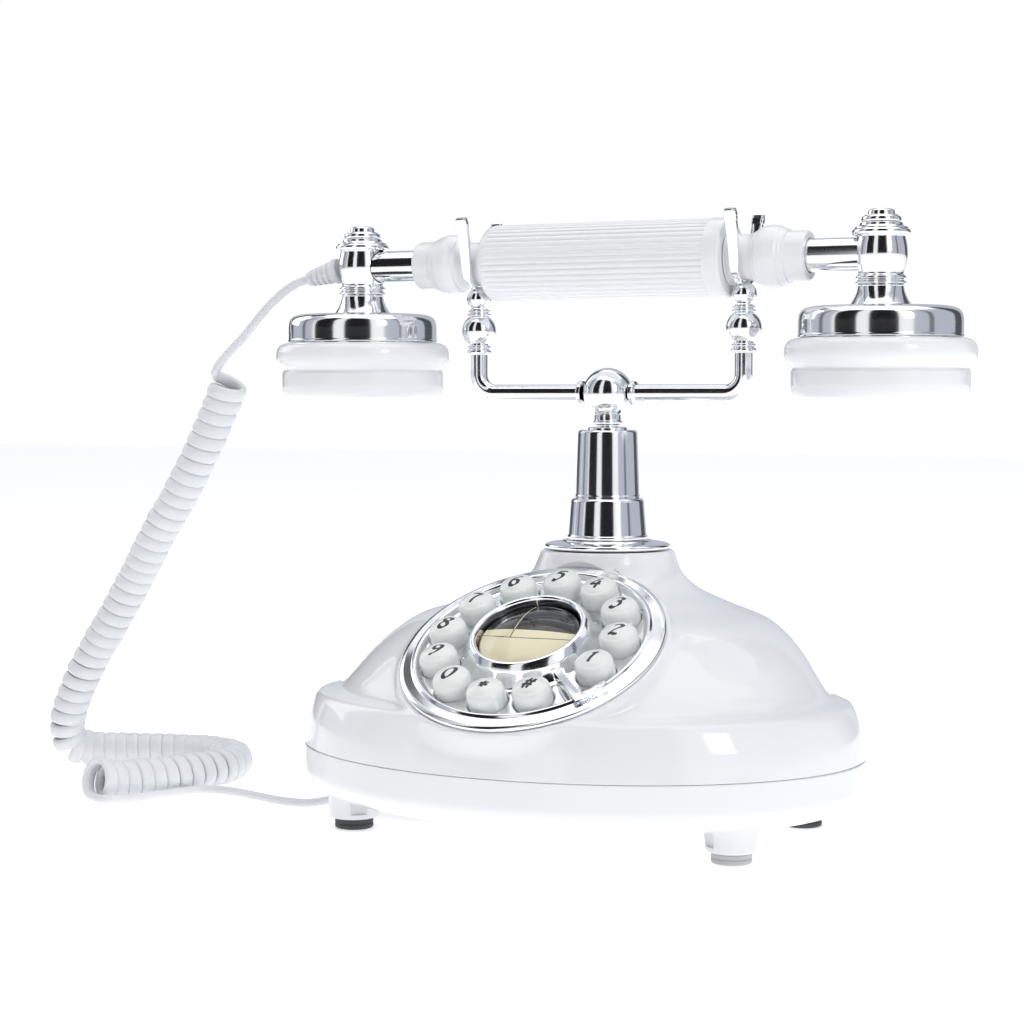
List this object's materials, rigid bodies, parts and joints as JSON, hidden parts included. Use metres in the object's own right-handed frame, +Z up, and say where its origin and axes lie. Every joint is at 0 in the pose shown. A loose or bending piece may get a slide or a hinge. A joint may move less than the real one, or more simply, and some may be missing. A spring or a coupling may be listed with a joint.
{
  "type": "cradle telephone",
  "caption": "Cradle telephone with an oval body, tilted ring of push buttons, turned stem, two-fork cradle and bar handset with bell ends on a curly cord.",
  "frame": {"origin": "on the table, under the middle of the telephone without its cord", "axes": "+Z up, +X from the mouthpiece to the earpiece, -Y towards the person who dials"},
  "size_m": [0.3367, 0.1398, 0.1929],
  "materials": {
    "gloss_white": "glossy moulded plastic, slightly cool white",
    "chrome": "bright mirror plating",
    "button_white": "glossy, faintly green white",
    "redial_cream": "glossy cream",
    "grey_rubber": "matt dark grey",
    "steel": "zinc-plated steel",
    "board": "green circuit board",
    "black_plastic": "satin black",
    "cord_white": "satin white cable jacket"
  },
  "bodies": {
    "base": {"lower_housing": "gloss_white", "upper_housing": "gloss_white", "foot_pad_1": "grey_rubber", "foot_pad_2": "grey_rubber", "foot_pad_3": "grey_rubber", "foot_pad_4": "grey_rubber", "keypad_mat": "grey_rubber", "base_screw_1": "steel", "base_screw_2": "steel", "base_screw_3": "steel", "base_screw_4": "steel", "ballast_plate": "steel", "hook_spring": "steel", "main_circuit_board": "board", "keypad_circuit_board": "board", "ringer_speaker": "black_plastic", "line_jack": "black_plastic", "handset_jack": "black_plastic", "hook_switch": "black_plastic", "stem_flange": "chrome", "stem_column": "chrome", "dial_plate": "chrome", "finger_stop": "chrome", "cord_coil": "cord_white", "cord_tail": "cord_white", "cord_plug": "cord_white"},
    "cradle": {"cradle_plunger": "chrome", "cradle_rod_left": "chrome", "cradle_rod_right": "chrome", "cradle_fork_left": "chrome", "cradle_fork_right": "chrome"},
    "handset": {"grip": "gloss_white", "collar_left": "gloss_white", "collar_right": "gloss_white", "handset_tube": "chrome", "head_left": "chrome", "head_right": "chrome", "finial_left": "chrome", "finial_right": "chrome", "bell_cap_left": "chrome", "bell_cap_right": "chrome", "mouthpiece_cap": "gloss_white", "earpiece_cap": "gloss_white", "microphone_capsule": "black_plastic", "receiver_capsule": "black_plastic", "cord_boot": "cord_white", "cord_upper_lead": "cord_white"},
    "key_1": {"button_1": "button_white"},
    "key_2": {"button_2": "button_white"},
    "key_3": {"button_3": "button_white"},
    "key_4": {"button_4": "button_white"},
    "key_5": {"button_5": "button_white"},
    "key_6": {"button_6": "button_white"},
    "key_7": {"button_7": "button_white"},
    "key_8": {"button_8": "button_white"},
    "key_9": {"button_9": "button_white"},
    "key_0": {"button_0": "button_white"},
    "key_star": {"button_star": "button_white"},
    "key_hash": {"button_hash": "button_white"},
    "key_redial": {"redial_button": "redial_cream"}
  },
  "joints": [
    {"name": "handset_lift", "type": "slide", "parent": "base", "child": "handset", "axis": [0, 0, 1], "range_m": [0, 0.09]},
    {"name": "hook_slide", "type": "slide", "parent": "base", "child": "cradle", "axis": [0, 0, 1], "range_m": [0, 0.004], "deforming": ["hook_spring"]},
    {"name": "press_1", "type": "slide", "parent": "base", "child": "key_1", "axis": [0, 0.5075, -0.8616], "range_m": [0, 0.002], "stiffness_N_per_m": 400, "springref_m": -0.0005},
    {"name": "press_2", "type": "slide", "parent": "base", "child": "key_2", "axis": [0, 0.5075, -0.8616], "range_m": [0, 0.002], "stiffness_N_per_m": 400, "springref_m": -0.0005},
    {"name": "press_3", "type": "slide", "parent": "base", "child": "key_3", "axis": [0, 0.5075, -0.8616], "range_m": [0, 0.002], "stiffness_N_per_m": 400, "springref_m": -0.0005},
    {"name": "press_4", "type": "slide", "parent": "base", "child": "key_4", "axis": [0, 0.5075, -0.8616], "range_m": [0, 0.002], "stiffness_N_per_m": 400, "springref_m": -0.0005},
    {"name": "press_5", "type": "slide", "parent": "base", "child": "key_5", "axis": [0, 0.5075, -0.8616], "range_m": [0, 0.002], "stiffness_N_per_m": 400, "springref_m": -0.0005},
    {"name": "press_6", "type": "slide", "parent": "base", "child": "key_6", "axis": [0, 0.5075, -0.8616], "range_m": [0, 0.002], "stiffness_N_per_m": 400, "springref_m": -0.0005},
    {"name": "press_7", "type": "slide", "parent": "base", "child": "key_7", "axis": [0, 0.5075, -0.8616], "range_m": [0, 0.002], "stiffness_N_per_m": 400, "springref_m": -0.0005},
    {"name": "press_8", "type": "slide", "parent": "base", "child": "key_8", "axis": [0, 0.5075, -0.8616], "range_m": [0, 0.002], "stiffness_N_per_m": 400, "springref_m": -0.0005},
    {"name": "press_9", "type": "slide", "parent": "base", "child": "key_9", "axis": [0, 0.5075, -0.8616], "range_m": [0, 0.002], "stiffness_N_per_m": 400, "springref_m": -0.0005},
    {"name": "press_0", "type": "slide", "parent": "base", "child": "key_0", "axis": [0, 0.5075, -0.8616], "range_m": [0, 0.002], "stiffness_N_per_m": 400, "springref_m": -0.0005},
    {"name": "press_star", "type": "slide", "parent": "base", "child": "key_star", "axis": [0, 0.5075, -0.8616], "range_m": [0, 0.002], "stiffness_N_per_m": 400, "springref_m": -0.0005},
    {"name": "press_hash", "type": "slide", "parent": "base", "child": "key_hash", "axis": [0, 0.5075, -0.8616], "range_m": [0, 0.002], "stiffness_N_per_m": 400, "springref_m": -0.0005},
    {"name": "press_redial", "type": "slide", "parent": "base", "child": "key_redial", "axis": [0, 0.5075, -0.8616], "range_m": [0, 0.002], "stiffness_N_per_m": 600, "springref_m": -0.0008}
  ],
  "couplings": [
    {"joint": "hook_slide", "follows": "handset_lift", "ratio": 0.04444}
  ]
}
